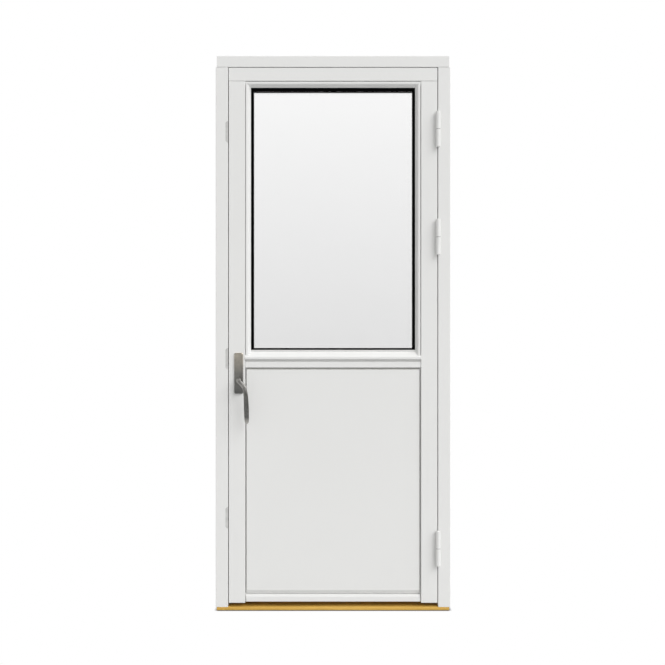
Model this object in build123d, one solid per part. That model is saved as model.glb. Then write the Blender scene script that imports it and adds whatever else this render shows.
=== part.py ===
import os
from math import acos, atan2, cos, degrees, hypot, pi, radians, sin, tan

from build123d import *

os.makedirs("parts", exist_ok=True)

# A half-glazed timber door in its frame. Outside faces -Y, +Z is up, lengths in millimetres.
# The origin is the middle of the underside of the sill.
frame_width, frame_height, frame_depth = 880.0, 2080.0, 105.0
jamb_face, head_face = 46.0, 42.0
stop_projection = 15.0
end_setback = 4.0
edge_round, soft_round = 2.0, 3.0
joint_line, joint_line_depth = 1.2, 3.0
overrun = 12.0

# The leaf stands flush with the front of the frame, with a gap all round.
leaf_thickness = 68.0
leaf_gap, head_gap = 2.5, 2.5
gasket_gap = 6.0
stile_foot = 29.0
bevel_start, bevel = 46.0, 3.0

# One rebate runs round the leaf: front wall, shoulder for bead or board, pocket, room-side lip.
stile_face, top_face = 57.5, 45.5
moulding, moulding_round = 4.0, 2.0
shoulder_step, lip_step, side_lip_step = 7.0, 15.0, 14.0
shoulder_depth, lip_depth = 18.0, 60.0

# Sill: low weathered front under the leaf, raised stop behind it.
sill_front, sill_back, sill_stop, sill_round = 13.0, 17.0, 45.0, 4.0

# Middle rail: the height of its lower edge, then steps up and down from there.
mid_height, mid_recess = 911.0, 2.0
mid_shoulder_rise, mid_round = 44.0, 1.5
mid_groove_height, mid_groove_depth = 8.5, 7.0
mid_core_drop, mid_lip_drop = 5.0, 22.0

# Bottom rail, with a sloped top under the edge of the outer board.
foot_recess = 3.0
foot_underside, foot_face, foot_slope, foot_slope_end = 32.0, 18.5, 8.0, 1.5
foot_tongue_rise, foot_seat_rise = 88.0, 34.0
foot_end_gap, foot_end_depth = 4.0, 10.0
drip_width, drip_depth = 4.0, 4.0

# Panel of two boards and a core. The outer board stands clear all round, with a bevelled foot.
board_depth, inner_board_depth = 6.0, 50.0
board_gap, board_side_gap, board_top_gap, board_drip = 0.5, 5.0, 7.0, 1.0
board_bevel, board_bevel_rise = 8.5, 14.0

# Glass unit: three panes, two spacers set back from the edge.
pane, cavity = 4.0, 12.0
glazing_strip = 3.0
unit_clearance, unit_seat, unit_head = 5.0, 3.2, 9.0
seal_width, spacer_width = 8.5, 10.0
strip_lip = 1.5
block_length, block_inset = 100.0, 98.0

# Glazing beads: a shadow gap to the stile, a flat and a rounded slope towards the glass.
bead_recess, bead_edge, bead_flat_end = 2.0, 1.8, 11.0
bead_nose_depth, bead_soft, bead_edge_round = 15.5, 7.0, 1.5

# Nosing bead at the foot of the glass, with a quirk, a slope, a rounded nose and a drip groove.
nose_top_depth, nose_shoulder_depth, nose_shoulder_rise = 13.8, 16.0, 14.5
nose_reach, nose_upper_drop, nose_under_drop = 2.5, 4.0, 14.0
nose_upper_round, nose_lower_round = 3.0, 4.0
nose_drip_inset, nose_drip_width, nose_drip_depth = 4.2, 1.6, 3.0

# Frame gaskets: a stem in a groove and a bulb against the leaf.
groove_width, groove_depth = 3.2, 8.0
stem_width, stem_depth = 3.0, 7.5
bulb_half, bulb_reach = 3.5, 5.5
jamb_gasket_inset, head_gasket_inset, sill_gasket_height = 9.0, 9.0, 40.0

# Lift-off hinges on a vertical pin in front of the frame.
hinge_top_drop, hinge_middle_drop, hinge_bottom_rise = 276.0, 680.0, 234.0
hinge_inset, hinge_stand = 0.5, 10.0
knuckle_radius, knuckle_length, knuckle_chamfer = 9.0, 66.0, 1.8
pin_radius, pin_reach, pin_clearance, pin_end = 4.5, 45.0, 0.08, 1.5
washer_thickness, washer_radius = 1.5, 8.4
hinge_plate, hinge_plate_depth, hinge_plate_margin = 3.0, 36.0, 4.0
hinge_screw_heights, hinge_screw_depth = (12.0, 33.0, 54.0), 24.0

# Three dead bolts behind one faceplate in the lock edge, each shooting into its keep.
lock_depth = 34.0
bolt_top_drop, bolt_middle_rise, bolt_bottom_rise = 285.0, 80.0, 348.0
bolt_travel = 14.0
bolt_tip_inset, bolt_length, bolt_half_height = 0.2, 29.8, 15.0
bolt_front, bolt_back, bolt_fit = 6.0, 2.0, 0.3
bolt_chamfer = 1.0
drive_pin_radius, drive_pin_x, drive_pin_end = 3.0, 25.0, 6.5
faceplate_width, faceplate_thick, faceplate_foot, faceplate_drop = 20.0, 3.0, 180.0, 75.0
face_screw_end, face_screw_beside, face_screw_side, face_screw_bite = 28.0, 60.0, 3.5, 14.0
guide_height, guide_depth, guide_gap, guide_front, guide_back = 8.0, 24.0, 0.4, 6.5, 1.8
channel_half, channel_back, channel_end = 7.0, 33.0, 16.0

# Drive rod with a rack, moved by a pinion on the spindle.
rod_front, rod_back = 2.5, 5.5
rod_edge, rod_width, rod_end = 7.0, 10.0, 38.0
cam_near, cam_far, cam_below, cam_above = 4.0, 31.5, 9.0, 29.0
cam_slot_fit = 0.6
spindle_backset, spindle_z, spindle_side, spindle_fit = 38.5, 864.0, 8.0, 0.1
pinion_teeth, pinion_module, pressure_angle = 12, 2.0, 25.0
tooth_backlash = 0.24
pinion_addendum, pinion_dedendum, rack_addendum, rack_dedendum = 1.7, 1.8, 1.4, 2.1
flank_steps, rack_below, rack_above = 4, 3, 6
pinion_front, pinion_back = 1.6, 6.6
hub_radius, hub_fit = 8.0, 0.1
case_half, case_wall, case_back, case_half_height = 9.0, 1.5, 54.5, 30.0
rod_way_far, rod_way_side, rod_way_front = 30.0, 7.0, 1.6
spindle_hole = 10.5

# Keeps: a plate in the jamb rebate with a lip over the front edge.
keep_thick, keep_half, keep_back, keep_lip, keep_corner = 2.0, 40.0, 49.5, 9.5, 6.0
keep_slot_half, keep_slot_height = 5.0, 18.0
keep_pocket_half, keep_pocket_height, keep_pocket_depth = 6.0, 19.0, 14.0
keep_screw_offset = 29.0

# Lever handles on both faces.
plate_offset, plate_width, plate_below, plate_above = 0.5, 33.0, 51.0, 102.0
plate_thick, plate_corner, plate_soft = 6.0, 6.0, 2.5
plate_screw_inset, plate_screw_bite = 15.0, 5.0
neck_radius, neck_start, neck_end, neck_fit = 9.0, 1.0, 12.0, 0.1
spindle_reach = 26.0
lever_reach, lever_drop, lever_stand = 33.0, 160.0, 50.0
lever_width, lever_depth = 9.6, 8.8
# Stations along the lever: shares of its reach, drop and stand-off, then its direction there,
# then shares of its half width and half depth.
crank_count = 5
lever_shares = (
    ((0.0, 0.0, 0.2), (0.0, 0.0, 1.0), 0.92, 1.0),
    ((0.0, 0.0, 0.54), (0.0, 0.0, 1.0), 0.81, 0.86),
    ((0.115, 0.02, 0.8), (0.52, 0.44, 0.74), 0.85, 0.82),
    ((0.43, 0.08, 0.95), (0.72, 0.68, 0.16), 0.9, 0.75),
    ((0.75, 0.17, 0.99), (0.42, 0.9, 0.02), 0.86, 0.68),
    ((0.91, 0.36, 1.0), (0.1, 1.0, 0.0), 0.88, 0.64),
    ((0.965, 0.65, 0.97), (0.05, 1.0, -0.06), 0.96, 0.61),
    ((0.99, 0.89, 0.89), (0.04, 1.0, -0.12), 0.9, 0.57),
    ((1.0, 0.97, 0.864), (0.04, 1.0, -0.14), 0.72, 0.44),
    ((1.0, 1.0, 0.852), (0.04, 1.0, -0.15), 0.42, 0.23),
)

# Fixings: frame screws through the jambs, corner screws, dowels, countersunk screws.
fixing_count, fixing_foot, fixing_drop, fixing_y = 4, 130.0, 180.0, -12.0
fixing_radius, fixing_head, fixing_sink = 4.5, 9.0, 12.0
corner_inset, corner_depths, corner_length = 24.0, (-28.0, 36.0), 90.0
corner_shank, corner_head = 3.0, 6.0
dowel_radius, dowel_half, dowel_depth = 6.0, 25.0, 39.0
mid_dowel_rises, foot_dowel_rises, top_dowel_insets = (9.0, 37.0), (48.0, 73.0), (16.0, 51.0)
foot_dowel_depth = 34.0
small_shank, small_head, small_length = 2.0, 3.9, 22.0
plate_shank, plate_head = 2.5, 4.6

# Planes and edges that follow from the sizes above.
front, back = -frame_depth / 2, frame_depth / 2
leaf_back = front + leaf_thickness
stop_front = leaf_back + gasket_gap
outer_x = frame_width / 2
jamb_inner = outer_x - jamb_face
stop_inner = jamb_inner - stop_projection
head_under = frame_height - head_face
leaf_edge = jamb_inner - leaf_gap
leaf_top = head_under - head_gap
rail_end = leaf_edge - stile_face
wall_x = rail_end - moulding
pocket_x = wall_x - shoulder_step
lip_x = pocket_x - side_lip_step
top_wall = leaf_top - top_face - moulding
top_pocket = top_wall - shoulder_step
top_lip = top_pocket - lip_step
mid_shoulder = mid_height + mid_shoulder_rise
mid_pocket = mid_shoulder + shoulder_step
mid_lip = mid_pocket + lip_step
mid_core_top = mid_height - mid_core_drop
mid_lower_lip = mid_height - mid_lip_drop
foot_face_top = foot_underside + foot_face
foot_slope_mid = foot_face_top + foot_slope
foot_slope_top = foot_slope_mid + foot_slope_end
foot_tongue, foot_board_seat = foot_underside + foot_tongue_rise, foot_underside + foot_seat_rise
foot_lip = foot_board_seat + lip_step
board_lower_edge = foot_slope_top + board_drip
unit_depth = shoulder_depth + glazing_strip
unit_back = unit_depth + 3 * pane + 2 * cavity
unit_x = pocket_x - unit_clearance
unit_foot, unit_top = mid_pocket + unit_seat, top_pocket - unit_head
hinge_x, hinge_y = jamb_inner - hinge_inset, front - hinge_stand
hinge_heights = {
    "top": frame_height - hinge_top_drop,
    "middle": frame_height - hinge_middle_drop,
    "bottom": hinge_bottom_rise,
}
spindle_x = -leaf_edge + spindle_backset
bolt_heights = {
    "top": frame_height - bolt_top_drop,
    "middle": spindle_z + bolt_middle_rise,
    "bottom": bolt_bottom_rise,
}
faceplate_top = leaf_top - faceplate_drop
plate_centre = spindle_x - plate_offset
plate_foot, plate_top = spindle_z - plate_below, spindle_z + plate_above
fixing_step = (frame_height - fixing_foot - fixing_drop) / (fixing_count - 1)
lock_y = front + lock_depth
bolt_y = lock_y + (bolt_back - bolt_front) / 2
pitch_radius = pinion_teeth * pinion_module / 2
rod_travel = pitch_radius * pi / 2
pitch_x = spindle_x - pitch_radius
tooth_pitch = pi * pinion_module


def block(x0, x1, y0, y1, z0, z1):
    return Pos((x0 + x1) / 2, (y0 + y1) / 2, (z0 + z1) / 2) * Box(abs(x1 - x0), abs(y1 - y0), abs(z1 - z0))


def outline(points, rounded=True):
    face = make_face(Polyline(*[(p[0], p[1]) for p in points], close=True))
    for point in points if rounded else ():
        if len(point) > 2:
            corner = min(face.vertices(), key=lambda v: hypot(v.X - point[0], v.Y - point[1]))
            face = fillet(corner, point[2])
    return face


def along_x(points, x0, x1, rounded=True):
    return extrude(Plane.YZ.offset(x0) * outline(points, rounded), x1 - x0)


def along_z(points, z0, z1, rounded=True):
    return extrude(Plane.XY.offset(z0) * outline(points, rounded), z1 - z0)


def along_y(face, y0, y1):
    return extrude(Plane.XZ.offset(-y1) * face, y1 - y0)


def depths(points):
    return [(front + p[0], *p[1:]) for p in points]


def ring(x_out, z_low, z_high, width, y0, y1):
    whole = block(-x_out, x_out, y0, y1, z_low, z_high)
    return whole - block(-x_out + width, x_out - width, y0, y1, z_low + width, z_high - width)


def screw(where, direction, shank, head, length):
    body = Pos(0, 0, length / 2) * Cylinder(shank, length)
    cone = Pos(0, 0, (head - shank) / 2) * Cone(head, shank, head - shank)
    return Plane(origin=where, z_dir=direction) * (body + cone)


def small_screw(where, way):
    return screw(where, (way, 0, 0), small_shank, small_head, small_length)


def group(shapes):
    return Compound(children=list(shapes))


def cut(body, tools):
    for tool in tools:
        body = body - tool
    return body


parts = {}

# Sill, head and jambs. The jamb ends are scribed over sill and head.
sill_points = [
    (front, 0, sill_round),
    (front, sill_front, soft_round),
    (stop_front, sill_back),
    (stop_front, sill_stop, edge_round),
    (back, sill_stop, soft_round),
    (back, 0),
]
head_points = [
    (front, head_under, edge_round),
    (front, frame_height, edge_round),
    (back, frame_height, edge_round),
    (back, head_under - stop_projection, soft_round),
    (stop_front, head_under - stop_projection, edge_round),
    (stop_front, head_under),
]
end_x = outer_x - end_setback
sill = along_x(sill_points, -end_x, end_x)
head = along_x(head_points, -end_x, end_x)
scribe = along_x(sill_points, -outer_x - overrun, outer_x + overrun, False) + along_x(
    head_points, -outer_x - overrun, outer_x + overrun, False
)


# A fine groove in the front face, across the ends of a pair of upright pieces.
def joint_groove(reach, z):
    return block(-reach, reach, front, front + joint_line_depth, z, z + joint_line)


def jamb(side):
    points = [
        (side * outer_x, front, edge_round),
        (side * jamb_inner, front, edge_round),
        (side * jamb_inner, stop_front),
        (side * stop_inner, stop_front, edge_round),
        (side * stop_inner, back, soft_round),
        (side * outer_x, back, edge_round),
    ]
    body = along_z(points, 0, head_under) - scribe - joint_groove(outer_x, head_under - joint_line)
    for index in range(fixing_count):
        z = fixing_foot + index * fixing_step
        inner = Plane(origin=(side * jamb_inner, fixing_y, z), z_dir=(side, 0, 0))
        hole = inner * (Pos(0, 0, jamb_face / 2) * Cylinder(fixing_radius, jamb_face))
        sink = inner * (Pos(0, 0, fixing_sink / 2) * Cylinder(fixing_head, fixing_sink))
        body = body - hole - sink
    return body


jambs = {side: jamb(side) for side in (-1, 1)}

# Gaskets in the stop, each with its groove.
half_stem = stem_width / 2
strip = make_face(
    Polyline((bulb_half, 0), (half_stem, 0), (half_stem, stem_depth))
    + Polyline((half_stem, stem_depth), (-half_stem, stem_depth), (-half_stem, 0), (-bulb_half, 0))
    + ThreePointArc((-bulb_half, 0), (0, -bulb_reach), (bulb_half, 0))
)
gasket_x = jamb_inner - jamb_gasket_inset
gasket_z = head_under - head_gasket_inset
groove = groove_width / 2
upright = (sill_stop, head_under - stop_projection)
for side, name in ((-1, "lock"), (1, "hinge")):
    slot = block(
        side * gasket_x - groove, side * gasket_x + groove, stop_front, stop_front + groove_depth, *upright
    )
    jambs[side] = jambs[side] - slot
    place = Plane(origin=(side * gasket_x, stop_front, upright[0]), x_dir=(1, 0, 0), z_dir=(0, 0, 1))
    parts["gasket_jamb_" + name] = extrude(place * strip, upright[1] - upright[0])
for z, name in ((gasket_z, "head"), (sill_gasket_height, "sill")):
    slot = block(-end_x, end_x, stop_front, stop_front + groove_depth, z - groove, z + groove)
    place = Plane(origin=(-leaf_edge, stop_front, z), x_dir=(0, 0, -1), z_dir=(1, 0, 0))
    parts["gasket_" + name] = extrude(place * strip, 2 * leaf_edge)
    head, sill = (head - slot, sill) if name == "head" else (head, sill - slot)

# Corner screws through head and sill into the ends of the jambs.
corner_screws = [
    screw((side * (outer_x - corner_inset), y, z), (0, 0, run), corner_shank, corner_head, corner_length)
    for side in (-1, 1)
    for y in corner_depths
    for z, run in ((0.0, 1), (frame_height, -1))
]
head, sill = cut(head, corner_screws), cut(sill, corner_screws)
jambs = {side: cut(body, corner_screws) for side, body in jambs.items()}
parts["frame_corner_screws"] = group(corner_screws)

# Leaf stiles and rails from one rebate profile.
rebate = [
    (stile_face + moulding, 0, moulding_round),
    (stile_face + moulding, shoulder_depth),
    (stile_face + moulding + shoulder_step, shoulder_depth),
    (stile_face + moulding + shoulder_step, lip_depth),
    (stile_face + moulding + shoulder_step + side_lip_step, lip_depth),
    (stile_face + moulding + shoulder_step + side_lip_step, leaf_thickness, soft_round),
]
hinge_corners = [(0, leaf_thickness), (0, 0, edge_round)]
lock_corners = [(bevel, leaf_thickness), (0, bevel_start), (0, 0, edge_round)]


def stile(side, corners):
    points = [(side * (leaf_edge - p[0]), front + p[1], *p[2:]) for p in rebate + corners]
    return along_z(points, stile_foot, leaf_top)


top_points = depths(
    [
        (0, leaf_top, edge_round),
        (0, top_wall, moulding_round),
        (shoulder_depth, top_wall),
        (shoulder_depth, top_pocket),
        (lip_depth, top_pocket),
        (lip_depth, top_lip),
        (leaf_thickness, top_lip, soft_round),
        (leaf_thickness, leaf_top),
    ]
)
top_rail = along_x(top_points, -leaf_edge, leaf_edge)
edge_wedge = along_z(
    [
        (-leaf_edge, front + bevel_start),
        (-leaf_edge + bevel, leaf_back),
        (-leaf_edge + bevel, leaf_back + overrun),
        (-leaf_edge - overrun, leaf_back + overrun),
        (-leaf_edge - overrun, front + bevel_start),
    ],
    stile_foot,
    leaf_top,
)
top_rail = top_rail - edge_wedge
top_scribe = along_x(top_points, -leaf_edge - overrun, leaf_edge + overrun, False)
plain = {-1: stile(-1, lock_corners), 1: stile(1, hinge_corners)}
top_groove = joint_groove(leaf_edge, top_wall - joint_line)
stiles = {side: body - top_scribe - top_groove for side, body in plain.items()}


def between_stiles(points, reach):
    return cut(along_x(depths(points), -reach, reach), plain.values())


nose_under = mid_shoulder - nose_under_drop
groove_foot, groove_back = nose_under - mid_groove_height, mid_recess + mid_groove_depth
mid_rail = between_stiles(
    [
        (mid_recess, groove_foot, mid_round),
        (groove_back, groove_foot),
        (groove_back, mid_shoulder),
        (shoulder_depth, mid_shoulder),
        (shoulder_depth, mid_pocket),
        (lip_depth, mid_pocket),
        (lip_depth, mid_lip),
        (leaf_thickness, mid_lip, soft_round),
        (leaf_thickness, mid_lower_lip, soft_round),
        (lip_depth, mid_lower_lip),
        (lip_depth, mid_core_top),
        (shoulder_depth, mid_core_top),
        (shoulder_depth, mid_height),
        (mid_recess, mid_height, mid_round),
    ],
    rail_end,
)
drip_start = foot_recess + 2 * drip_width
bottom_rail = between_stiles(
    [
        (foot_recess, foot_underside, edge_round),
        (foot_recess, foot_face_top, edge_round),
        (board_depth, foot_slope_mid),
        (shoulder_depth, foot_slope_top),
        (shoulder_depth, foot_tongue),
        (inner_board_depth, foot_tongue),
        (inner_board_depth, foot_board_seat),
        (lip_depth, foot_board_seat),
        (lip_depth, foot_lip),
        (leaf_thickness, foot_lip, soft_round),
        (leaf_thickness, foot_underside, edge_round),
        (drip_start + drip_width, foot_underside),
        (drip_start + drip_width, foot_underside + drip_depth),
        (drip_start, foot_underside + drip_depth),
        (drip_start, foot_underside),
    ],
    rail_end,
)


# Grooves at both ends of a rail, along the inner edges of the stiles.
def end_grooves(width, depth, z0, z1):
    return [block(side * (wall_x - width), side * wall_x, front, front + depth, z0, z1) for side in (-1, 1)]


mid_rail = cut(mid_rail, end_grooves(joint_line, mid_recess + joint_line_depth, mid_height, groove_foot))
bottom_rail = cut(bottom_rail, end_grooves(foot_end_gap, foot_end_depth, foot_underside, foot_slope_top))

# Dowels in the six joints of the leaf.
dowels = []
for side in (-1, 1):
    level = [(mid_height + rise, dowel_depth) for rise in mid_dowel_rises]
    level += [(foot_underside + rise, foot_dowel_depth) for rise in foot_dowel_rises]
    for z, depth in level:
        centre = Plane(origin=(side * pocket_x, front + depth, z), z_dir=(side, 0, 0))
        dowels.append(centre * Cylinder(dowel_radius, 2 * dowel_half))
    for inset in top_dowel_insets:
        place = Pos(side * (leaf_edge - inset), front + dowel_depth, top_pocket)
        dowels.append(place * Cylinder(dowel_radius, 2 * dowel_half))
mid_rail, bottom_rail, top_rail = (cut(rail, dowels) for rail in (mid_rail, bottom_rail, top_rail))
stiles = {side: cut(body, dowels) for side, body in stiles.items()}
parts["leaf_dowels"] = group(dowels)

# Panel below the middle rail.
board_x, core_x = wall_x - board_side_gap, pocket_x - board_gap
board_points = depths(
    [
        (board_depth, mid_height - board_top_gap, edge_round),
        (shoulder_depth, mid_height - board_top_gap),
        (shoulder_depth, board_lower_edge),
        (board_depth + board_bevel, board_lower_edge),
        (board_depth, board_lower_edge + board_bevel_rise),
    ]
)
board = along_x(board_points, -board_x, board_x)
board_arrises = board.edges().filter_by(Axis.Z).group_by(Axis.Y)[0]
parts["panel_outer_board"] = fillet(board_arrises, edge_round)
parts["panel_core"] = block(
    -core_x, core_x, front + shoulder_depth, front + inner_board_depth, foot_tongue, mid_core_top - board_gap
)
parts["panel_inner_board"] = block(
    -core_x, core_x, front + inner_board_depth, front + lip_depth, foot_board_seat, mid_core_top - board_gap
)

# Glass unit on its setting blocks, between two glazing strips.
for index, name in enumerate(("outer", "middle", "inner")):
    y = front + unit_depth + index * (pane + cavity)
    parts["glass_" + name] = block(-unit_x, unit_x, y, y + pane, unit_foot, unit_top)
seals = []
for index, name in enumerate(("outer", "inner")):
    y = front + unit_depth + pane + index * (pane + cavity)
    seals.append(ring(unit_x, unit_foot, unit_top, seal_width, y, y + cavity))
    parts["spacer_" + name] = ring(
        unit_x - seal_width, unit_foot + seal_width, unit_top - seal_width, spacer_width, y, y + cavity
    )
parts["edge_seals"] = group(seals)
parts["setting_blocks"] = group(
    block(
        side * (unit_x - block_inset) - block_length / 2,
        side * (unit_x - block_inset) + block_length / 2,
        front + unit_depth,
        front + unit_back,
        mid_pocket,
        unit_foot,
    )
    for side in (-1, 1)
)
for name, y, reach in (("outer", front + shoulder_depth, strip_lip), ("inner", front + unit_back, 0.0)):
    whole = block(-unit_x, unit_x, y, y + glazing_strip, unit_foot, unit_top)
    sight = lip_x - reach
    parts["glazing_gasket_" + name] = whole - block(
        -sight, sight, y, y + glazing_strip, mid_lip + reach, top_lip - reach
    )

# Glazing beads. The side beads are scribed to the top bead and to the nosing.
def bead(sight):
    return [
        (bead_edge, shoulder_depth),
        (bead_edge, bead_recess, bead_edge_round),
        (bead_flat_end, bead_recess, bead_soft),
        (sight, bead_nose_depth),
        (sight, shoulder_depth),
    ]


head_bead, side_bead = bead(shoulder_step + lip_step), bead(shoulder_step + side_lip_step)
bead_top = along_x([(front + p[1], top_wall - p[0], *p[2:]) for p in head_bead], -wall_x, wall_x)
bead_end = [(front + p[1], top_wall - (p[0] if p[0] > bead_edge else -overrun)) for p in head_bead]
bead_scribe = along_x(bead_end, -wall_x, wall_x)
drip_near = -nose_reach + nose_drip_inset
drip_far = drip_near + nose_drip_width
nosing = between_stiles(
    [
        (shoulder_depth, mid_shoulder),
        (shoulder_depth, mid_lip),
        (nose_top_depth, mid_lip),
        (nose_shoulder_depth, mid_shoulder + nose_shoulder_rise),
        (-nose_reach, mid_shoulder - nose_upper_drop, nose_upper_round),
        (-nose_reach, nose_under, nose_lower_round),
        (drip_near, nose_under),
        (drip_near, nose_under + nose_drip_depth),
        (drip_far, nose_under + nose_drip_depth),
        (drip_far, nose_under),
        (groove_back, nose_under),
        (groove_back, mid_shoulder),
    ],
    wall_x,
)
for side, name in ((-1, "lock"), (1, "hinge")):
    points = [(side * (wall_x - p[0]), front + p[1], *p[2:]) for p in side_bead]
    parts["bead_" + name] = along_z(points, mid_shoulder, top_wall) - bead_scribe - nosing
parts["bead_top"] = bead_top
parts["bead_nosing"] = nosing

# Hinges: the lower knuckle on the jamb holds the pin, the upper knuckle on the leaf drops over it.
frame_screws, leaf_screws, pins, washers = [], [], [], []
plate_deep = front + hinge_plate_depth
half_washer = washer_thickness / 2


def knuckle(z, up, plate_x, bore):
    start, end = half_washer, half_washer + knuckle_length
    barrel = Pos(0, 0, (start + end) / 2) * Cylinder(knuckle_radius, knuckle_length)
    barrel = chamfer(barrel.edges().filter_by(GeomType.CIRCLE).sort_by(Axis.Z)[-1], knuckle_chamfer)
    barrel = Plane(origin=(hinge_x, hinge_y, z), x_dir=(1, 0, 0), z_dir=(0, 0, up)) * barrel
    near, far = z + up * (start + hinge_plate_margin), z + up * (end - hinge_plate_margin)
    flag = block(plate_x, plate_x + hinge_plate, hinge_y, plate_deep, near, far)
    reach = pin_reach if up < 0 else pin_reach + pin_end
    hole = Pos(hinge_x, hinge_y, z + up * reach / 2) * Cylinder(bore, reach)
    return barrel + flag - hole, flag


for name, z in hinge_heights.items():
    lower, lower_flag = knuckle(z, -1, jamb_inner, pin_radius)
    upper, upper_flag = knuckle(z, 1, leaf_edge - hinge_plate, pin_radius + pin_clearance)
    low = [small_screw((jamb_inner, front + hinge_screw_depth, z - h), 1) for h in hinge_screw_heights]
    high = [small_screw((leaf_edge, front + hinge_screw_depth, z + h), -1) for h in hinge_screw_heights]
    jambs[1] = cut(jambs[1], [lower_flag] + low)
    stiles[1] = cut(stiles[1], [upper_flag] + high)
    parts["hinge_frame_" + name] = cut(lower, low)
    parts["hinge_leaf_" + name] = cut(upper, high)
    frame_screws += low
    leaf_screws += high
    pins.append(Pos(hinge_x, hinge_y, z) * Cylinder(pin_radius, 2 * pin_reach))
    disc = Cylinder(washer_radius, washer_thickness) - Cylinder(pin_radius + pin_clearance, washer_thickness)
    washers.append(Pos(hinge_x, hinge_y, z) * disc)
parts["hinge_frame_screws"] = group(frame_screws)
parts["hinge_leaf_screws"] = group(leaf_screws)
parts["hinge_pins"] = group(pins)
parts["hinge_washers"] = group(washers)

# Keeps in the lock jamb, each over a pocket for its bolt.
keep_screws = []
for name, z in bolt_heights.items():
    bend = [
        (-jamb_inner, front, edge_round),
        (-jamb_inner, front + keep_back),
        (-jamb_inner - keep_thick, front + keep_back),
        (-jamb_inner - keep_thick, front + keep_thick),
        (-jamb_inner - keep_lip, front + keep_thick),
        (-jamb_inner - keep_lip, front),
    ]
    keep = along_z(bend, z - keep_half, z + keep_half)
    tip = -jamb_inner - keep_lip
    for way in (-1, 1):
        end = z + way * keep_half
        corner = [(tip, end), (tip + keep_corner, end), (tip, end - way * keep_corner)]
        keep = keep - along_y(outline(corner), front, front + keep_thick)
    pocket = block(
        -jamb_inner - keep_pocket_depth,
        -jamb_inner,
        bolt_y - keep_pocket_half,
        bolt_y + keep_pocket_half,
        z - keep_pocket_height,
        z + keep_pocket_height,
    )
    screws = [small_screw((-jamb_inner, bolt_y, z + way * keep_screw_offset), -1) for way in (-1, 1)]
    jambs[-1] = cut(jambs[-1], [keep, pocket] + screws)
    slot = block(
        -jamb_inner - keep_thick,
        -jamb_inner,
        bolt_y - keep_slot_half,
        bolt_y + keep_slot_half,
        z - keep_slot_height,
        z + keep_slot_height,
    )
    parts["keep_" + name] = cut(keep, [slot] + screws)
    keep_screws += screws
parts["keep_screws"] = group(keep_screws)

# Faceplate in the lock edge, with guide blocks above and below each bolt.
face_x = -leaf_edge + faceplate_thick
seat = block(
    -leaf_edge,
    face_x,
    lock_y - faceplate_width / 2,
    lock_y + faceplate_width / 2,
    faceplate_foot,
    faceplate_top,
)
faceplate = seat
bolt_room = [lock_y - bolt_front - bolt_fit, lock_y + bolt_back + bolt_fit]
for z in bolt_heights.values():
    for way in (-1, 1):
        near = z + way * (bolt_half_height + guide_gap)
        faceplate = faceplate + block(
            face_x,
            face_x + guide_depth,
            lock_y - guide_front,
            lock_y + guide_back,
            near,
            near + way * guide_height,
        )
    room = bolt_half_height + bolt_fit
    faceplate = faceplate - block(-leaf_edge, face_x, *bolt_room, z - room, z + room)
face_screw_heights = [faceplate_foot + face_screw_end, faceplate_top - face_screw_end]
face_screw_heights += [z + face_screw_beside for name, z in bolt_heights.items() if name != "top"]
face_screw_heights.append(bolt_heights["top"] - face_screw_beside)
face_screws = [
    screw(
        (-leaf_edge, lock_y - face_screw_side, z),
        (1, 0, 0),
        small_shank,
        small_head,
        channel_back + face_screw_bite,
    )
    for z in face_screw_heights
]
parts["lock_faceplate"] = cut(faceplate, face_screws)
parts["faceplate_screws"] = group(face_screws)

# Bolts, each with a pin in a slanted slot of the drive rod.
pin_x = -leaf_edge + drive_pin_x
bolt_tip = -leaf_edge + bolt_tip_inset
for name, z in bolt_heights.items():
    body = block(
        bolt_tip,
        bolt_tip + bolt_length,
        lock_y - bolt_front,
        lock_y + bolt_back,
        z - bolt_half_height,
        z + bolt_half_height,
    )
    body = chamfer(body.faces().sort_by(Axis.X)[0].edges(), bolt_chamfer)
    drive_pin = along_y(Pos(pin_x, z) * Circle(drive_pin_radius), lock_y + bolt_back, lock_y + drive_pin_end)
    parts["bolt_" + name] = body + drive_pin

rod_y = (lock_y + rod_front, lock_y + rod_back)
rod_x = -leaf_edge + rod_edge
rod = block(rod_x, rod_x + rod_width, *rod_y, faceplate_foot + rod_end, faceplate_top - rod_end)
slant = degrees(atan2(rod_travel, -bolt_travel))
slot_length = hypot(bolt_travel, rod_travel)
slot_size = 2 * drive_pin_radius + cam_slot_fit
for z in bolt_heights.values():
    rod = rod + block(
        -leaf_edge + cam_near, -leaf_edge + cam_far, *rod_y, z - cam_below, z + cam_above
    )
    middle = Pos(pin_x - bolt_travel / 2, z + rod_travel / 2) * Rot(0, 0, slant)
    rod = rod - along_y(middle * SlotCenterToCenter(slot_length, slot_size), *rod_y)

# Rack teeth with straight flanks, and a pinion with involute flanks to match.
flank = tan(radians(pressure_angle))
half_tooth = tooth_pitch / 4 - tooth_backlash / 2
rack = [(rod_x, spindle_z - rack_below * tooth_pitch)]
for index in range(-rack_below, rack_above):
    z = spindle_z + (index + 0.5) * tooth_pitch
    root, crest = half_tooth + rack_dedendum * flank, half_tooth - rack_addendum * flank
    rack += [
        (pitch_x - rack_dedendum, z - root),
        (pitch_x + rack_addendum, z - crest),
        (pitch_x + rack_addendum, z + crest),
        (pitch_x - rack_dedendum, z + root),
    ]
rack.append((rod_x, spindle_z + rack_above * tooth_pitch))
parts["drive_rod"] = rod + along_y(outline(rack), *rod_y)

base_radius = pitch_radius * cos(radians(pressure_angle))
tip_radius, root_radius = pitch_radius + pinion_addendum, pitch_radius - pinion_dedendum


def involute(angle):
    return tan(angle) - angle


def half_angle(radius):
    at = acos(min(1.0, base_radius / radius)) if radius > base_radius else 0.0
    return half_tooth / pitch_radius + involute(radians(pressure_angle)) - involute(at)


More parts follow.
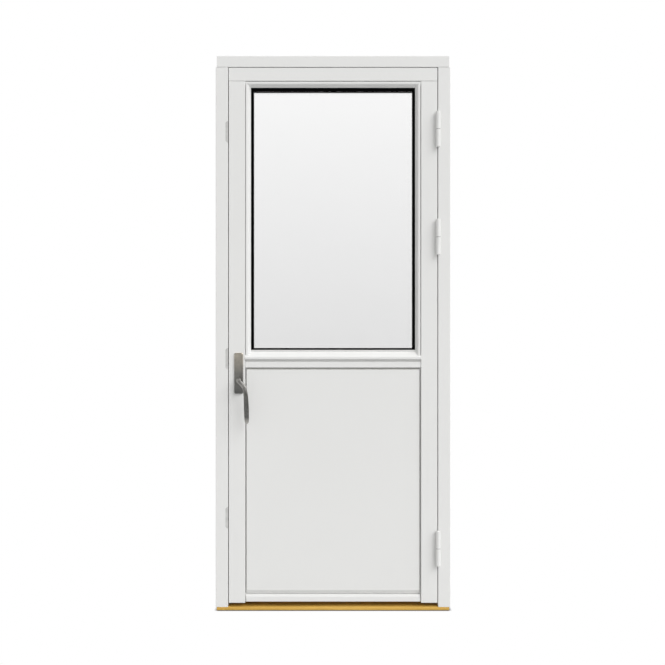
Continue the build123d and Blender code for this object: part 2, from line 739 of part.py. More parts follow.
radii = [root_radius] + [
    base_radius + (tip_radius - base_radius) * step / flank_steps for step in range(flank_steps + 1)
]
gear = []
for tooth in range(pinion_teeth):
    centre = pi + 2 * pi * tooth / pinion_teeth
    sides = [(r, centre - half_angle(r)) for r in radii]
    sides += [(r, centre + half_angle(r)) for r in reversed(radii)]
    gear += [(r * cos(a), r * sin(a)) for r, a in sides]
square_hole = Rectangle(spindle_side + spindle_fit, spindle_side + spindle_fit)
at_spindle = Pos(spindle_x, spindle_z)
follower = along_y(at_spindle * outline(gear), lock_y + pinion_front, lock_y + pinion_back)
follower = follower + along_y(at_spindle * Circle(hub_radius), lock_y - case_half, lock_y + case_half)
parts["follower"] = follower - along_y(at_spindle * square_hole, lock_y - case_half, lock_y + case_half)

# Lock case round the pinion, open to the faceplate, with ways for the rod.
case_room = [-leaf_edge + case_back, lock_y - case_half, lock_y + case_half]
case_z = (spindle_z - case_half_height, spindle_z + case_half_height)
case_box = block(face_x, *case_room, *case_z)
hollow = block(
    face_x,
    case_room[0] - case_wall,
    case_room[1] + case_wall,
    case_room[2] - case_wall,
    case_z[0] + case_wall,
    case_z[1] - case_wall,
)
rod_way = block(
    face_x, -leaf_edge + rod_way_far, lock_y + rod_way_front, lock_y + rod_way_side, *case_z
)
bearing = along_y(at_spindle * Circle(hub_radius + hub_fit), *case_room[1:])
parts["lock_case"] = case_box - hollow - rod_way - bearing

# Handle plates and the screws that draw them together through the stile.
plate_face = Pos(plate_centre, (plate_foot + plate_top) / 2) * RectangleRounded(
    plate_width, plate_top - plate_foot, plate_corner
)
neck_hole = along_y(at_spindle * Circle(neck_radius + neck_fit), front - plate_thick, leaf_back + plate_thick)
outside = along_y(plate_face, front - plate_thick, front)
outside = fillet(outside.faces().sort_by(Axis.Y)[0].edges(), plate_soft)
inside = along_y(plate_face, leaf_back, leaf_back + plate_thick)
inside = fillet(inside.faces().sort_by(Axis.Y)[-1].edges(), plate_soft)
plate_screws = [
    screw(
        (plate_centre, leaf_back + plate_thick, z),
        (0, -1, 0),
        plate_shank,
        plate_head,
        plate_thick + leaf_thickness + plate_screw_bite,
    )
    for z in (plate_foot + plate_screw_inset, plate_top - plate_screw_inset)
]
parts["plate_outside"] = cut(outside, [neck_hole] + plate_screws)
parts["plate_inside"] = cut(inside, [neck_hole] + plate_screws)
parts["plate_screws"] = group(plate_screws)

# Cranked lever: a round neck that turns in the plate, a smooth crank and a flat oval grip.
sections = []
for (right, down, out), (tx, tz, ty), wide, deep in lever_shares:
    tangent = Vector(tx, -ty, -tz)
    across = Vector(-1, 0, -1) if tx == tz == 0 else tangent.cross(Vector(0, -1, 0))
    centre = (spindle_x + right * lever_reach, front - out * lever_stand, spindle_z - down * lever_drop)
    place = Plane(origin=centre, x_dir=across, z_dir=tangent)
    sections.append(place * Ellipse(wide * lever_width, deep * lever_depth))
neck = along_y(at_spindle * Circle(neck_radius), front - neck_end, front - neck_start)
crank = loft(sections[:crank_count])
grip = loft(sections[crank_count - 1 :], ruled=True)
lever = neck + crank + grip
spindle = along_y(
    at_spindle * Rectangle(spindle_side, spindle_side), front - spindle_reach, leaf_back + spindle_reach
)
socket = along_y(at_spindle * square_hole, front - spindle_reach, leaf_back + spindle_reach)
lever_inside = mirror(lever, Plane.XZ.offset(-lock_y))
parts["lever_outside"] = lever - socket
parts["lever_inside"] = lever_inside - socket
parts["spindle"] = spindle

# Lock stile: faceplate seat, rod channel, case pocket, spindle and screw holes.
channel = block(
    face_x,
    -leaf_edge + channel_back,
    lock_y - channel_half,
    lock_y + channel_half,
    faceplate_foot + channel_end,
    faceplate_top - channel_end,
)
cross_hole = along_y(at_spindle * Circle(spindle_hole), front, leaf_back)
stiles[-1] = cut(stiles[-1], [seat, channel, case_box, cross_hole] + plate_screws + face_screws)

parts["frame_head"] = head
parts["sill"] = sill
parts["frame_jamb_lock"], parts["frame_jamb_hinge"] = jambs[-1], jambs[1]
parts["lock_stile"], parts["hinge_stile"] = stiles[-1], stiles[1]
parts["top_rail"], parts["mid_rail"], parts["bottom_rail"] = top_rail, mid_rail, bottom_rail

for name, shape in parts.items():
    export_step(shape, "parts/" + name + ".step")
print(len(parts), "parts written")
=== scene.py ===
from math import pi

import bpy
import numpy as np
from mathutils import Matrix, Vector


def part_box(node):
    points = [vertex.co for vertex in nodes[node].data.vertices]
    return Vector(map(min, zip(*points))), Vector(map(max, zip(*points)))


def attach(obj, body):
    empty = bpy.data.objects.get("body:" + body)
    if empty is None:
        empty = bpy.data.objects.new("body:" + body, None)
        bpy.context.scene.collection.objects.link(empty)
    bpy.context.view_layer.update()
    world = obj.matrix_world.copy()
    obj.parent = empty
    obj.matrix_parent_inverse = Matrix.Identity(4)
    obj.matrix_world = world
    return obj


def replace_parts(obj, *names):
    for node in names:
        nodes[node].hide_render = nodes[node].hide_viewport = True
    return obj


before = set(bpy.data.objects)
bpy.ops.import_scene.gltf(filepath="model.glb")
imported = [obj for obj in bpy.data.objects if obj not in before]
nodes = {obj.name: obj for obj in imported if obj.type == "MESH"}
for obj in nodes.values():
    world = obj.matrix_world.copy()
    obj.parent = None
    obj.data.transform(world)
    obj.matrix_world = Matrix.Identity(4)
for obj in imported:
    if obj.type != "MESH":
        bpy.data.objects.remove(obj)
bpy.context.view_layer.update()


# A socket with operators: glow * 2 or 1 - mask adds a Math node and gives its socket back.
class Wire:
    def __init__(self, tree, socket=None):
        self.tree, self.socket = tree, socket

    # Any node: settings are its own properties, values are numbers or wires for its inputs.
    def node(self, kind, settings=None, values=None, out=0):
        made = self.tree.nodes.new(kind)
        for key, value in (settings or {}).items():
            setattr(made, key, value)
        for key, value in (values or {}).items():
            self.feed(made.inputs[key], value)
        return Wire(self.tree, made.outputs[out])

    def feed(self, target, value):
        if isinstance(value, Wire):
            self.tree.links.new(value.socket, target)
        else:
            target.default_value = value

    def maths(self, operation, first, second):
        return self.node("ShaderNodeMath", {"operation": operation}, {0: first, 1: second})

    def __add__(self, other):
        return self.maths("ADD", self, other)

    def __radd__(self, other):
        return self.maths("ADD", other, self)

    def __sub__(self, other):
        return self.maths("SUBTRACT", self, other)

    def __rsub__(self, other):
        return self.maths("SUBTRACT", other, self)

    def __mul__(self, other):
        return self.maths("MULTIPLY", self, other)

    def __or__(self, other):
        return self.maths("MAXIMUM", self, other)

    # Noise on object coordinates, stretched by three scales.
    def noise(self, scale, detail, rough=0.5, twist=0.0):
        place = self.node("ShaderNodeTexCoord", out="Object")
        drawn = self.node("ShaderNodeMapping", None, {"Vector": place, "Scale": scale})
        inputs = {"Vector": drawn, "Scale": 1.0, "Detail": detail, "Roughness": rough, "Distortion": twist}
        return self.node("ShaderNodeTexNoise", None, inputs, "Fac")

    # A noise about its mean, times a width.
    def sway(self, width):
        return (self - 0.5) * width

    # Height on a piece, as a share from the foot to the top of its box.
    def rise(self, low, high):
        place = self.node("ShaderNodeTexCoord", out="Object")
        return self.node("ShaderNodeSeparateXYZ", None, {"Vector": place}, "Z").spread(low.z, high.z)

    # A new ramp has two stops: the first is reused and the second is taken out.
    def ramp(self, stops):
        made = self.tree.nodes.new("ShaderNodeValToRGB")
        band = made.color_ramp.elements
        band.remove(band[1])
        for index, (place, color) in enumerate(stops):
            stop = band.new(place) if index else band[0]
            stop.position, stop.color = place, (*color, 1)
        self.feed(made.inputs["Fac"], self)
        return Wire(self.tree, made.outputs["Color"])

    def spread(self, low, high, start=0.0, end=1.0):
        inputs = {"Value": self, "From Min": low, "From Max": high, "To Min": start, "To Max": end}
        return self.node("ShaderNodeMapRange", None, inputs, "Result")

    def tint(self, first, second):
        return self.node("ShaderNodeMix", {"data_type": "RGBA"}, {0: self, 6: first, 7: second}, 2)

    def bump(self, strength, distance):
        inputs = {"Strength": strength, "Distance": distance, "Height": self}
        return self.node("ShaderNodeBump", None, inputs, "Normal")


# One scale for all three axes.
def even(size):
    return (size, size, size)


# A finish: fixed values go straight on the shader, looks(wire) returns what changes over the surface.
def makeFinish(name, fixed, looks):
    material = bpy.data.materials.new(name)
    material.use_nodes = True
    shader = material.node_tree.nodes["Principled BSDF"]
    wire = Wire(material.node_tree)
    for key, value in {**fixed, **looks(wire)}.items():
        wire.feed(shader.inputs[key], value)
    return material


def dress(finish, *names):
    for name in names:
        nodes[name].data.materials.clear()
        nodes[name].data.materials.append(finish)


# Satin paint over planed timber: the grain shows only as the faintest ripple along the piece.
paint = {
    "light": (0.806, 0.806, 0.794, 1),
    "shade": (0.786, 0.786, 0.772, 1),
    "rough": 0.4,
    "peelSway": 0.12,
    "cloudSway": 0.1,
    "grain": {"along": 2.2, "across": 210.0, "detail": 4.0},
    "peel": {"scale": even(640.0), "detail": 1.0},
    "cloud": {"scale": even(2.6), "detail": 2.0},
    "grainShare": 0.65,
    "strength": 0.35,
    "relief": 0.00012,
    "gloss": 0.4,
}


def paintFinish(name, along):
    def looks(wire):
        stretch = [paint["grain"]["along" if axis == along else "across"] for axis in "xyz"]
        grain = wire.noise(stretch, paint["grain"]["detail"])
        peel = wire.noise(**paint["peel"])
        cloud = wire.noise(**paint["cloud"])
        relief = grain * paint["grainShare"] + peel * (1 - paint["grainShare"])
        return {
            "Base Color": cloud.tint(paint["shade"], paint["light"]),
            "Roughness": paint["rough"] + peel.sway(paint["peelSway"]) + cloud.sway(paint["cloudSway"]),
            "Normal": relief.bump(paint["strength"], paint["relief"]),
        }

    return makeFinish(name, {"Specular IOR Level": paint["gloss"]}, looks)


uprightPaint = paintFinish("satinPaintUpright", "z")
levelPaint = paintFinish("satinPaintLevel", "x")
dress(uprightPaint, "frame_jamb_lock", "frame_jamb_hinge", "lock_stile", "hinge_stile")
dress(uprightPaint, "bead_lock", "bead_hinge", "panel_outer_board", "panel_inner_board")
dress(levelPaint, "frame_head", "top_rail", "mid_rail", "bottom_rail", "bead_top", "bead_nosing")

# Oiled oak sill: growth bands and pores drawn out along the board.
oak = {
    "stops": [(0.2, (0.53, 0.31, 0.06)), (0.5, (0.67, 0.41, 0.088)), (0.8, (0.76, 0.48, 0.118))],
    "pore": (0.24, 0.12, 0.03, 1),
    "poreShare": 0.55,
    "poreEdge": (0.62, 0.74),
    "band": {"scale": (0.9, 34.0, 46.0), "detail": 6.0, "rough": 0.62, "twist": 0.7},
    "fleck": {"scale": (9.0, 420.0, 520.0), "detail": 2.0, "rough": 0.6},
    "rough": 0.36,
    "fleckRough": 0.25,
    "bandRough": 0.1,
    "bandShare": 0.5,
    "strength": 0.5,
    "relief": 0.0004,
    "gloss": 0.3,
}


def oakLooks(wire):
    band = wire.noise(**oak["band"])
    fleck = wire.noise(**oak["fleck"]).spread(*oak["poreEdge"])
    relief = band * oak["bandShare"] + (1 - fleck) * (1 - oak["bandShare"])
    return {
        "Base Color": (fleck * oak["poreShare"]).tint(band.ramp(oak["stops"]), oak["pore"]),
        "Roughness": oak["rough"] + fleck * oak["fleckRough"] + band * oak["bandRough"],
        "Normal": relief.bump(oak["strength"], oak["relief"]),
    }


dress(makeFinish("oiledOak", {"Specular IOR Level": oak["gloss"]}, oakLooks), "sill")

# Bare beech dowels, grain along the pin.
beech = {
    "stops": [(0.25, (0.50, 0.33, 0.17)), (0.75, (0.66, 0.48, 0.28))],
    "grain": {"scale": (30.0, 900.0, 900.0), "detail": 4.0},
    "rough": 0.6,
    "grainRough": 0.2,
}


def beechLooks(wire):
    grain = wire.noise(**beech["grain"])
    return {
        "Base Color": grain.ramp(beech["stops"]),
        "Roughness": beech["rough"] + grain * beech["grainRough"],
    }


dress(makeFinish("bareBeech", {}, beechLooks), "leaf_dowels")

# Clear panes. Their tint darkens towards the foot of the unit: painted shade, with the paler top a painted
# reflection. A few specks haze it.
pane = {
    "foot": (0.92, 0.92, 0.92, 1),
    "top": (0.992, 0.992, 0.992, 1),
    "index": 1.5,
    "gloss": 0.1,
    "speck": {"scale": even(14.0), "detail": 3.0},
    "speckEdge": (0.6, 0.9),
    "haze": (0.0, 0.012),
}


def paneLooks(wire):
    return {
        # The tint by height paints shade towards the foot and reflection towards the top.
        "Base Color": wire.rise(*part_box("glass_outer")).tint(pane["foot"], pane["top"]),
        "Roughness": wire.noise(**pane["speck"]).spread(*pane["speckEdge"], *pane["haze"]),
    }


paneFixed = {"Transmission Weight": 1.0, "IOR": pane["index"], "Specular IOR Level": pane["gloss"]}
dress(makeFinish("clearPane", paneFixed, paneLooks), "glass_outer", "glass_middle", "glass_inner")

# Dull dark and pale mouldings: spacer, rubber, foam, plastic. Each has two tones, a roughness, a pore scale,
# the depth of the pores and a gloss.
mouldings = {
    "blackSpacer": {
        "tones": ((0.0015, 0.0015, 0.0015, 1), (0.004, 0.004, 0.004, 1)),
        "rough": 0.9,
        "pore": 700.0,
        "relief": 0.00005,
        "gloss": 0.0,
        "on": ("spacer_outer", "spacer_inner", "edge_seals"),
    },
    "glazingRubber": {
        "tones": ((0.004, 0.004, 0.004, 1), (0.010, 0.010, 0.010, 1)),
        "rough": 0.9,
        "pore": 900.0,
        "relief": 0.0001,
        "gloss": 0.0,
        "on": ("glazing_gasket_outer", "glazing_gasket_inner"),
    },
    "frameRubber": {
        "tones": ((0.42, 0.42, 0.40, 1), (0.5, 0.5, 0.48, 1)),
        "rough": 0.65,
        "pore": 900.0,
        "relief": 0.0001,
        "gloss": 0.25,
        "on": ("gasket_head", "gasket_sill", "gasket_jamb_lock", "gasket_jamb_hinge"),
    },
    "panelFoam": {
        "tones": ((0.62, 0.60, 0.5, 1), (0.74, 0.72, 0.62, 1)),
        "rough": 0.9,
        "pore": 420.0,
        "relief": 0.0004,
        "gloss": 0.25,
        "on": ("panel_core",),
    },
    "settingPlastic": {
        "tones": ((0.05, 0.11, 0.07, 1), (0.07, 0.14, 0.09, 1)),
        "rough": 0.5,
        "pore": 300.0,
        "relief": 0.0001,
        "gloss": 0.25,
        "on": ("setting_blocks",),
    },
    "washerPlastic": {
        "tones": ((0.16, 0.16, 0.15, 1), (0.22, 0.22, 0.21, 1)),
        "rough": 0.45,
        "pore": 500.0,
        "relief": 0.00005,
        "gloss": 0.25,
        "on": ("hinge_washers",),
    },
}
mouldedSkin = {
    "poreDetail": 2.0,
    "poreSway": 0.15,
    "cloud": {"scale": even(18.0), "detail": 2.0},
    "strength": 0.4,
}


def mouldedFinish(name, look):
    skin = mouldedSkin

    def looks(wire):
        pore = wire.noise(even(look["pore"]), skin["poreDetail"])
        return {
            "Base Color": wire.noise(**skin["cloud"]).tint(*look["tones"]),
            "Roughness": look["rough"] + pore.sway(skin["poreSway"]),
            "Normal": pore.bump(skin["strength"], look["relief"]),
        }

    return makeFinish(name, {"Specular IOR Level": look["gloss"]}, looks)


for mouldingName, moulding in mouldings.items():
    dress(mouldedFinish(mouldingName, moulding), *moulding["on"])

# Zinc of lock and keeps, and the coat of the hinges: two tones in soft clouds under a fine even grain.
metals = {
    "zincPlate": {
        "tones": ((0.55, 0.55, 0.53, 1), (0.66, 0.66, 0.645, 1)),
        "rough": 0.38,
        "grain": 260.0,
        "relief": 0.00003,
        "metal": 1.0,
        "on": (
            "lock_faceplate", "lock_case", "drive_rod", "follower", "spindle",
            "bolt_top", "bolt_middle", "bolt_bottom", "hinge_pins",
        ),
    },
    "dullZinc": {
        "tones": ((0.56, 0.56, 0.545, 1), (0.64, 0.64, 0.625, 1)),
        "rough": 0.6,
        "grain": 300.0,
        "relief": 0.00004,
        "metal": 0.15,
        "on": ("keep_top", "keep_middle", "keep_bottom"),
    },
    "hingeCoat": {
        "tones": ((0.77, 0.77, 0.755, 1), (0.80, 0.80, 0.785, 1)),
        "rough": 0.34,
        "grain": 520.0,
        "relief": 0.00006,
        "metal": 0.0,
        "on": (
            "hinge_frame_top", "hinge_frame_middle", "hinge_frame_bottom",
            "hinge_leaf_top", "hinge_leaf_middle", "hinge_leaf_bottom",
        ),
    },
}
metalSkin = {
    "grainDetail": 2.0,
    "grainSway": 0.16,
    "cloud": {"scale": even(60.0), "detail": 3.0},
    "cloudEdge": (0.35, 0.65),
    "cloudSway": 0.1,
    "strength": 0.3,
}


def metalFinish(name, look):
    skin = metalSkin

    def looks(wire):
        grain = wire.noise(even(look["grain"]), skin["grainDetail"])
        cloud = wire.noise(**skin["cloud"])
        return {
            "Base Color": cloud.spread(*skin["cloudEdge"]).tint(*look["tones"]),
            "Roughness": look["rough"] + grain.sway(skin["grainSway"]) + cloud.sway(skin["cloudSway"]),
            "Normal": grain.bump(skin["strength"], look["relief"]),
        }

    return makeFinish(name, {"Metallic": look["metal"]}, looks)


# Nickel of the handle. Its tone follows the height on the piece, as shares from foot to top, and paints
# reflection into the colour: the outside plate is browner and paler towards the top as a painted reflection,
# the inside one has a milder painted reflection, paler towards the top, and the levers are painted darkest
# on the grip, with painted highlights pale at neck and tip.
nickelPieces = {
    # Painted reflection: browner and paler towards the top.
    "outsidePlate": {
        "stops": [(0.0, (0.20, 0.20, 0.195)), (0.5, (0.38, 0.37, 0.345)), (1.0, (0.86, 0.79, 0.67))],
        "rough": (0.36, 0.36),
        "on": ("plate_outside",),
    },
    # A milder painted reflection, paler towards the top.
    "insidePlate": {
        "stops": [(0.0, (0.34, 0.335, 0.32)), (0.5, (0.42, 0.415, 0.395)), (1.0, (0.50, 0.49, 0.46))],
        "rough": (0.36, 0.36),
        "on": ("plate_inside",),
    },
    # Painted reflection: dark on the grip, with painted highlights pale at neck and tip.
    "levers": {
        "stops": [
            (0.0, (0.46, 0.45, 0.425)),
            (0.05, (0.40, 0.39, 0.37)),
            (0.14, (0.13, 0.13, 0.125)),
            (0.5, (0.16, 0.158, 0.15)),
            (0.66, (0.22, 0.215, 0.20)),
            (0.8, (0.44, 0.43, 0.41)),
            (1.0, (0.48, 0.47, 0.45)),
        ],
        "rough": (0.28, 0.6),
        "on": ("lever_outside", "lever_inside"),
    },
}
nickelSkin = {
    "cloud": {"scale": even(60.0), "detail": 3.0},
    "cloudEdge": (0.35, 0.65),
    "mottle": (0.05, 0.05, 0.048, 1),
    "mottleSpan": (0.0, 0.22),
    "roughRise": (0.6, 0.85),
    "lines": {"scale": (900.0, 900.0, 40.0), "detail": 2.0},
    "lineSway": 0.16,
    "strength": 0.3,
    "relief": 0.00003,
}


def nickelFinish(name, look):
    skin = nickelSkin

    def looks(wire):
        # The ramp over the height paints reflection and highlights into the colour; the mottle is the
        # metal's own uneven tone.
        share = wire.rise(*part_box(look["on"][0]))
        mottle = wire.noise(**skin["cloud"]).spread(*skin["cloudEdge"], *skin["mottleSpan"])
        lines = wire.noise(**skin["lines"])
        return {
            "Base Color": mottle.tint(share.ramp(look["stops"]), skin["mottle"]),
            "Roughness": share.spread(*skin["roughRise"], *look["rough"]) + lines.sway(skin["lineSway"]),
            "Normal": lines.bump(skin["strength"], skin["relief"]),
        }

    return makeFinish(name, {"Metallic": 1.0}, looks)


for nickelName, nickel in nickelPieces.items():
    dress(nickelFinish("satinNickel." + nickelName, nickel), *nickel["on"])

metalFinishes = {metalName: metalFinish(metalName, metal) for metalName, metal in metals.items()}
for metalName, metal in metals.items():
    dress(metalFinishes[metalName], *metal["on"])
print("finishes on the carried pieces:", len(bpy.data.materials))


def addPiece(name, points, faces, finish, body):
    mesh = bpy.data.meshes.new(name)
    mesh.from_pydata(points.tolist(), [], faces)
    mesh.polygons.foreach_set("use_smooth", np.ones(len(mesh.polygons), bool))
    mesh.materials.append(finish)
    mesh.update()
    piece = bpy.data.objects.new(name, mesh)
    bpy.context.scene.collection.objects.link(piece)
    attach(piece, body)
    return piece


# Countersunk screws. A turned profile: head face, cone, threaded shank and point. Widths across the face are
# shares of the head's radius, the thread's depth and the point's radii are shares of the shank's.
screwShape = {
    "around": 40,
    "faceRings": 9,
    "threadRings": 72,
    "centre": 0.02,
    "armWidth": 0.17,
    "armSlope": 0.06,
    "armReach": 0.62,
    "reachSlope": 0.08,
    "sink": 0.55,
    "sinkFall": 0.6,
    "pitch": 0.0022,
    "threadDepth": 0.28,
    "point": (0.5, 0.02),
}


# One screw on a grid of rings by angle. Along the head face the height drops inside a cross: a point
# is in the cross where its smaller offset from the centre lines is under the arm width and its larger
# one under the arm reach. Along the shank the radius ripples with the angle plus the run over the pitch.
def screwGrid(shank, head, length):
    shape = screwShape
    angle = np.linspace(0, 2 * pi, shape["around"], endpoint=False)
    ring = np.ones_like(angle)
    faceRadius = head * np.linspace(shape["centre"], 1, shape["faceRings"])[:, None] * ring
    offsets = np.abs(np.stack([np.cos(angle), np.sin(angle)]))[:, None, :] * faceRadius[None]
    near, far = offsets.min(0) / head, offsets.max(0) / head
    inArm = np.clip((shape["armWidth"] - near) / shape["armSlope"], 0, 1)
    inReach = np.clip((shape["armReach"] - far) / shape["reachSlope"], 0, 1)
    faceRun = inArm * inReach * shape["sink"] * head * (1 - shape["sinkFall"] * far / shape["armReach"])
    run = np.linspace(head - shank, length - 2 * shank, shape["threadRings"])[:, None]
    phase = (run / shape["pitch"] + angle[None] / (2 * pi)) % 1
    started = np.clip((run - head) / (2 * shape["pitch"]), 0, 1)
    shankRadius = shank * (1 - started * shape["threadDepth"] * np.abs(2 * phase - 1))
    tipRun = np.array([length - shank, length])[:, None] * ring
    tipRadius = shank * np.array(shape["point"])[:, None] * ring
    radius = np.concatenate([faceRadius, shankRadius, tipRadius])
    depth = np.concatenate([faceRun, run * ring, tipRun])
    return np.stack([radius * np.cos(angle), radius * np.sin(angle), depth], -1)


# Quads between neighbouring rings of a grid that closes on itself around the axis.
def ringFaces(rings, around):
    row, column = np.meshgrid(np.arange(rings - 1), np.arange(around), indexing="ij")
    after = (column + 1) % around
    corners = [(row, column), (row, after), (row + 1, after), (row + 1, column)]
    return np.stack([at * around + turn for at, turn in corners], -1).reshape(-1, 4)


# A set of screws: the grid is turned to run along the given direction, and moved to each head.
def screwSet(name, heads, run, sizes, body):
    grid = screwGrid(*sizes)
    rings, around = grid.shape[:2]
    run = np.array(run, float)
    side = np.array((1.0, 0.0, 0.0)) if run[2] else np.cross((0.0, 0.0, 1.0), run)
    turned = grid.reshape(-1, 3) @ np.stack([side, np.cross(run, side), run])
    points = (np.array(heads)[:, None] + turned[None]).reshape(-1, 3)
    quads = ringFaces(rings, around)
    caps = [list(range(around - 1, -1, -1)), list(range((rings - 1) * around, rings * around))]
    count = rings * around
    faces = (quads[None] + count * np.arange(len(heads))[:, None, None]).reshape(-1, 4).tolist()
    faces += [[corner + count * index for corner in cap] for index in range(len(heads)) for cap in caps]
    return addPiece(name, points, faces, metalFinishes["zincPlate"], body)


def middle(name):
    low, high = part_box(name)
    return (low + high) / 2


# Heads lie where the carried screws have theirs: read from their boxes and those of the pieces they hold.
# Sizes are the shank's radius, the head's radius and the length.
screwBoxes = {name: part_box(name) for name in nodes if name.endswith("_screws")}
plateLow, plateHigh = screwBoxes["plate_screws"]
screwSizes = {
    "small": (0.002, 0.0039, 0.022),
    "faceplate": (0.002, 0.0039, 0.047),
    "plate": (0.0025, 0.0046, plateHigh.y - plateLow.y),
    "corner": (0.003, 0.006, 0.09),
}
hingeScrews = {"washer": 0.0015, "steps": (0.012, 0.033, 0.054)}
keepScrews = {"apart": 0.029}
faceScrews = {"end": 0.028, "beside": 0.06}
places = ("top", "middle", "bottom")


def hingeHeads(half, plane, up):
    y = middle("hinge_" + half + "_screws").y
    ends = [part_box("hinge_" + half + "_" + place)[0 if up > 0 else 1].z for place in places]
    steps = [up * (step - hingeScrews["washer"] / 2) for step in hingeScrews["steps"]]
    return [(plane, y, end + step) for end in ends for step in steps]


faceLow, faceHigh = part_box("lock_faceplate")
boltRises = {place: middle("bolt_" + place).z for place in places}
faceRises = [
    faceLow.z + faceScrews["end"],
    faceHigh.z - faceScrews["end"],
    boltRises["top"] - faceScrews["beside"],
    boltRises["middle"] + faceScrews["beside"],
    boltRises["bottom"] + faceScrews["beside"],
]
keepMiddle, faceMiddle, plateMiddle = (middle(name + "_screws") for name in ("keep", "faceplate", "plate"))
plateHead, cornerHead = screwSizes["plate"][1], screwSizes["corner"][1]
cornerLow, cornerHigh = screwBoxes["frame_corner_screws"]
cornerSpots = [
    (x, y)
    for x in (cornerLow.x + cornerHead, cornerHigh.x - cornerHead)
    for y in (cornerLow.y + cornerHead, cornerHigh.y - cornerHead)
]
screwSets = [
    ("hingeFrameScrews", "hinge_frame_screws", "frame", (1, 0, 0), "small",
     hingeHeads("frame", screwBoxes["hinge_frame_screws"][0].x, -1)),
    ("hingeLeafScrews", "hinge_leaf_screws", "leaf", (-1, 0, 0), "small",
     hingeHeads("leaf", screwBoxes["hinge_leaf_screws"][1].x, 1)),
    ("keepScrews", "keep_screws", "frame", (-1, 0, 0), "small",
     [(screwBoxes["keep_screws"][1].x, keepMiddle.y, middle("keep_" + place).z + way * keepScrews["apart"])
      for place in places for way in (-1, 1)]),
    ("faceplateScrews", "faceplate_screws", "leaf", (1, 0, 0), "faceplate",
     [(screwBoxes["faceplate_screws"][0].x, faceMiddle.y, z) for z in faceRises]),
    ("plateScrews", "plate_screws", "leaf", (0, -1, 0), "plate",
     [(plateMiddle.x, plateHigh.y, z) for z in (plateLow.z + plateHead, plateHigh.z - plateHead)]),
    ("cornerScrewsLow", "frame_corner_screws", "frame", (0, 0, 1), "corner",
     [(x, y, cornerLow.z) for x, y in cornerSpots]),
    ("cornerScrewsHigh", "frame_corner_screws", "frame", (0, 0, -1), "corner",
     [(x, y, cornerHigh.z) for x, y in cornerSpots]),
]
for pieceName, nodeName, bodyName, run, size, heads in screwSets:
    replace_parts(screwSet(pieceName, heads, run, screwSizes[size], bodyName), nodeName)
print("screw sets:", len(screwSets))

# Camera square to the door: the field is the width that it sees in the plane of the frame's front.
view = {"distance": 4.0, "field": 2.494, "across": -0.002, "height": 1.0425, "sensor": 36.0}
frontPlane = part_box("frame_head")[0].y
cameraData = bpy.data.cameras.new("photoCamera")
cameraData.sensor_width = view["sensor"]
cameraData.lens = view["sensor"] * view["distance"] / view["field"]
camera = bpy.data.objects.new("photoCamera", cameraData)
camera.location = (view["across"], frontPlane - view["distance"], view["height"])
camera.rotation_euler = (pi / 2, 0, 0)
bpy.context.scene.collection.objects.link(camera)
bpy.context.scene.camera = camera

# Studio: an even sky, a soft key from high on the right, a level fill behind the door that panes and
# metal don't mirror, and a darker room behind the camera.
studio = {
    "sky": 0.64,
    "room": 0.06,
    "roomEdge": (-0.45, 0.35),
    "suns": {
        "keyLight": {"strength": 2.2, "from": (0.5, -0.42, 0.58), "spread": 0.85, "mirrored": True},
        "backFill": {"strength": 1.0, "from": (-0.35, 0.94, 0.0), "spread": 0.7, "mirrored": False},
    },
    "floor": (0.55, 0.55, 0.55, 1),
    "floorReach": 14.0,
    "floorDrop": 0.0004,
    "contact": 0.012,
    "contactEdge": (0.45, 1.0),
    "contactShade": 0.03,
    "white": (1, 1, 1, 1),
}


def shownRays(wire):
    seen = wire.node("ShaderNodeLightPath", out="Is Camera Ray")
    return seen | wire.node("ShaderNodeLightPath", out="Is Transmission Ray")


def glossyRays(wire):
    return wire.node("ShaderNodeLightPath", out="Is Glossy Ray")


def backdrop(wire, strength):
    return wire.node("ShaderNodeBackground", None, {"Color": studio["white"], "Strength": strength})


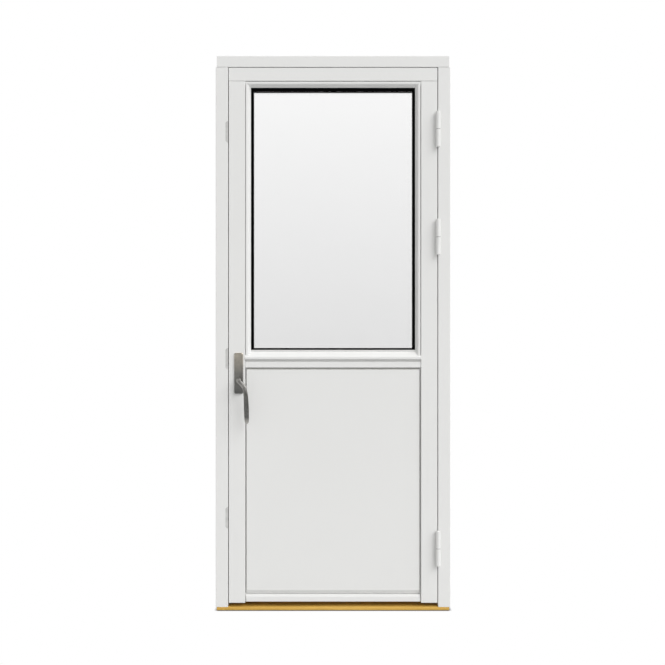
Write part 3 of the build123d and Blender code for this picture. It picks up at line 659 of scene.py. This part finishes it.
# The sky is plain white to the eye, even to the paint, and darker towards the room in what mirrors it.
world = bpy.data.worlds.new("studio")
world.use_nodes = True
bpy.context.scene.world = world
sky = Wire(world.node_tree)
toward = sky.node("ShaderNodeTexCoord", out="Generated")
depth = sky.node("ShaderNodeSeparateXYZ", None, {"Vector": toward}, "Y")
room = backdrop(sky, depth.spread(*studio["roomEdge"], studio["room"]))
lit = sky.node("ShaderNodeMixShader", None, {0: glossyRays(sky), 1: backdrop(sky, studio["sky"]), 2: room})
whole = sky.node("ShaderNodeMixShader", None, {0: shownRays(sky), 1: lit, 2: backdrop(sky, 1.0)})
sky.feed(world.node_tree.nodes["World Output"].inputs["Surface"], whole)

for sunName, sun in studio["suns"].items():
    sunData = bpy.data.lights.new(sunName, "SUN")
    sunData.energy, sunData.angle = sun["strength"], sun["spread"]
    lamp = bpy.data.objects.new(sunName, sunData)
    lamp.visible_glossy = lamp.visible_transmission = sun["mirrored"]
    lamp.rotation_mode = "QUATERNION"
    lamp.rotation_quaternion = Vector(sun["from"]).to_track_quat("Z", "Y")
    bpy.context.scene.collection.objects.link(lamp)

# Pale floor: plain white to the eye with a contact shadow, an ordinary matt floor to the light.
reach, drop = studio["floorReach"], -studio["floorDrop"]
floorMesh = bpy.data.meshes.new("floor")
floorCorners = [(x * reach, y * reach, drop) for x, y in ((-1, -1), (1, -1), (1, 1), (-1, 1))]
floorMesh.from_pydata(floorCorners, [], [(0, 1, 2, 3)])
floor = bpy.data.objects.new("floor", floorMesh)
bpy.context.scene.collection.objects.link(floor)
floorFinish = bpy.data.materials.new("paleFloor")
floorFinish.use_nodes = True
floorFinish.node_tree.nodes.remove(floorFinish.node_tree.nodes["Principled BSDF"])
ground = Wire(floorFinish.node_tree)
clear = ground.node("ShaderNodeAmbientOcclusion", None, {"Distance": studio["contact"]}, "AO")
glow = clear.spread(*studio["contactEdge"], studio["contactShade"])
matt = ground.node("ShaderNodeBsdfDiffuse", None, {"Color": studio["floor"]})
plain = ground.node("ShaderNodeEmission", None, {"Color": studio["white"], "Strength": glow})
ground.feed(
    floorFinish.node_tree.nodes["Material Output"].inputs["Surface"],
    ground.node("ShaderNodeMixShader", None, {0: shownRays(ground) | glossyRays(ground), 1: matt, 2: plain}),
)
floorMesh.materials.append(floorFinish)

bpy.context.scene.view_settings.view_transform = "Standard"
print("camera, light and floor are set")
